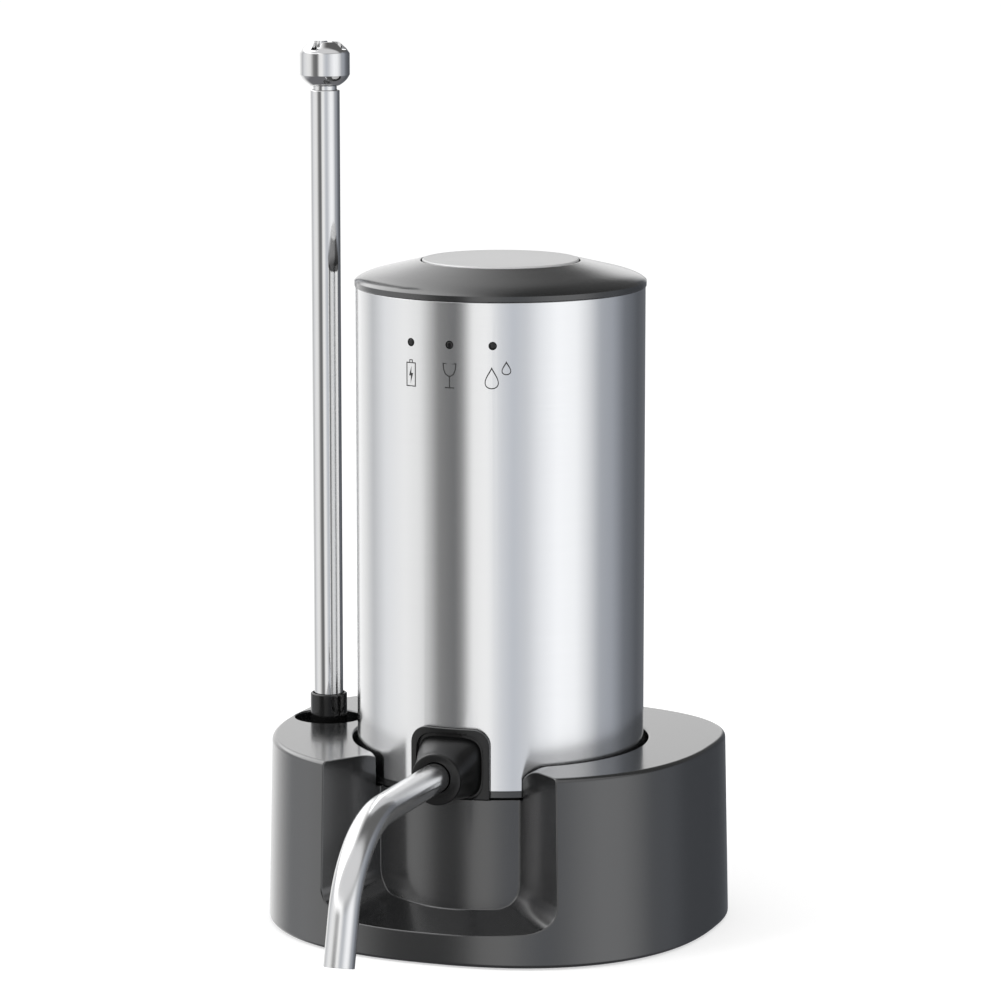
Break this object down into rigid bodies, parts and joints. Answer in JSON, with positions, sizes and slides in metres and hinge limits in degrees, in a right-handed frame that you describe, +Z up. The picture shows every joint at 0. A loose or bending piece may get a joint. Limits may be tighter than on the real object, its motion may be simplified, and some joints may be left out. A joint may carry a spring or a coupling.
{
  "type": "electric wine aerator",
  "caption": "Electric wine aerator and dispenser: brushed steel cylinder with a power button in its domed cap, a bent pouring spout, an oval storage base and a telescopic suction tube.",
  "frame": {"origin": "on the resting plane, under the dispenser's axis", "axes": "+Z up, -Y the way the spout points, -X the side where the suction tube stands"},
  "size_m": [0.0958, 0.1335, 0.1835],
  "materials": {
    "base_plastic": "fine satin grey moulding",
    "soft_rubber": "matt black rubber",
    "nose_rubber": "smooth semi-gloss black rubber",
    "brushed_steel": "fine horizontal brushing round the body",
    "cap_plastic": "satin dark grey",
    "button_satin": "light satin grey",
    "polished_steel": "polished",
    "plain_steel": "plain small steel parts",
    "collar_gloss": "glossy black",
    "lens_black": "tinted black, unlit",
    "inner_plastic": "natural white moulding",
    "clear_silicone": "milky silicone",
    "circuit_board": "green solder mask",
    "battery_wrap": "blue shrink wrap",
    "wire_insulation": "red insulation",
    "dark_iron": "dark magnet and laminated core"
  },
  "bodies": {
    "base": {"base_shell": "base_plastic", "bottom_plate": "base_plastic", "foot_pad": "soft_rubber", "base_screw_1": "plain_steel", "base_screw_2": "plain_steel", "base_screw_3": "plain_steel", "base_screw_4": "plain_steel"},
    "dispenser": {"outer_sleeve": "brushed_steel", "top_cap": "cap_plastic", "button_spring": "plain_steel", "bottom_cap": "cap_plastic", "chassis": "inner_plastic", "battery": "battery_wrap", "battery_wire": "wire_insulation", "motor_wire": "wire_insulation", "air_hose": "clear_silicone", "cap_screw_1": "plain_steel", "cap_screw_2": "plain_steel", "cap_screw_3": "plain_steel", "pump_cover": "inner_plastic", "pump_diaphragm": "soft_rubber", "drive_plate": "inner_plastic", "pump_housing": "inner_plastic", "motor_can": "brushed_steel", "motor_magnet": "dark_iron", "motor_end_cap": "cap_plastic", "front_board": "circuit_board", "charge_board": "circuit_board", "switch_board": "circuit_board", "tact_switch": "cap_plastic", "charging_socket": "plain_steel", "indicator_lamp_1": "inner_plastic", "indicator_lamp_2": "inner_plastic", "indicator_lamp_3": "inner_plastic", "indicator_lens_1": "lens_black", "indicator_lens_2": "lens_black", "indicator_lens_3": "lens_black", "spout_bezel": "nose_rubber", "spout_seal": "soft_rubber", "spout_tube": "polished_steel", "outlet_elbow": "clear_silicone", "inlet_stem": "polished_steel", "inlet_seal": "soft_rubber", "bottle_stopper": "soft_rubber"},
    "button": {"power_button": "button_satin"},
    "rotor": {"motor_shaft": "plain_steel", "rotor_core": "dark_iron", "pump_crank": "inner_plastic"},
    "suction_tube": {"outer_tube": "polished_steel", "tube_collar": "collar_gloss"},
    "tube_extension": {"inner_tube": "polished_steel", "inlet_foot": "polished_steel", "friction_ring": "inner_plastic"}
  },
  "joints": [
    {"name": "dispenser_lift", "type": "slide", "parent": "base", "child": "dispenser", "axis": [0, 0, 1], "range_m": [0, 0.06]},
    {"name": "power_button_press", "type": "slide", "parent": "dispenser", "child": "button", "axis": [0, 0, -1], "range_m": [0, 0.0012], "stiffness_N_per_m": 400, "springref_m": -0.002, "deforming": ["button_spring"]},
    {"name": "motor_spin", "type": "hinge", "parent": "dispenser", "child": "rotor", "pos_m": [-0.01151, 0.006, 0.1], "axis": [0, 0, 1], "continuous": true},
    {"name": "suction_tube_lift", "type": "slide", "parent": "base", "child": "suction_tube", "axis": [0, 0, 1], "range_m": [0, 0.04]},
    {"name": "tube_telescope", "type": "slide", "parent": "suction_tube", "child": "tube_extension", "axis": [0, 0, 1], "range_m": [0, 0.095]}
  ]
}
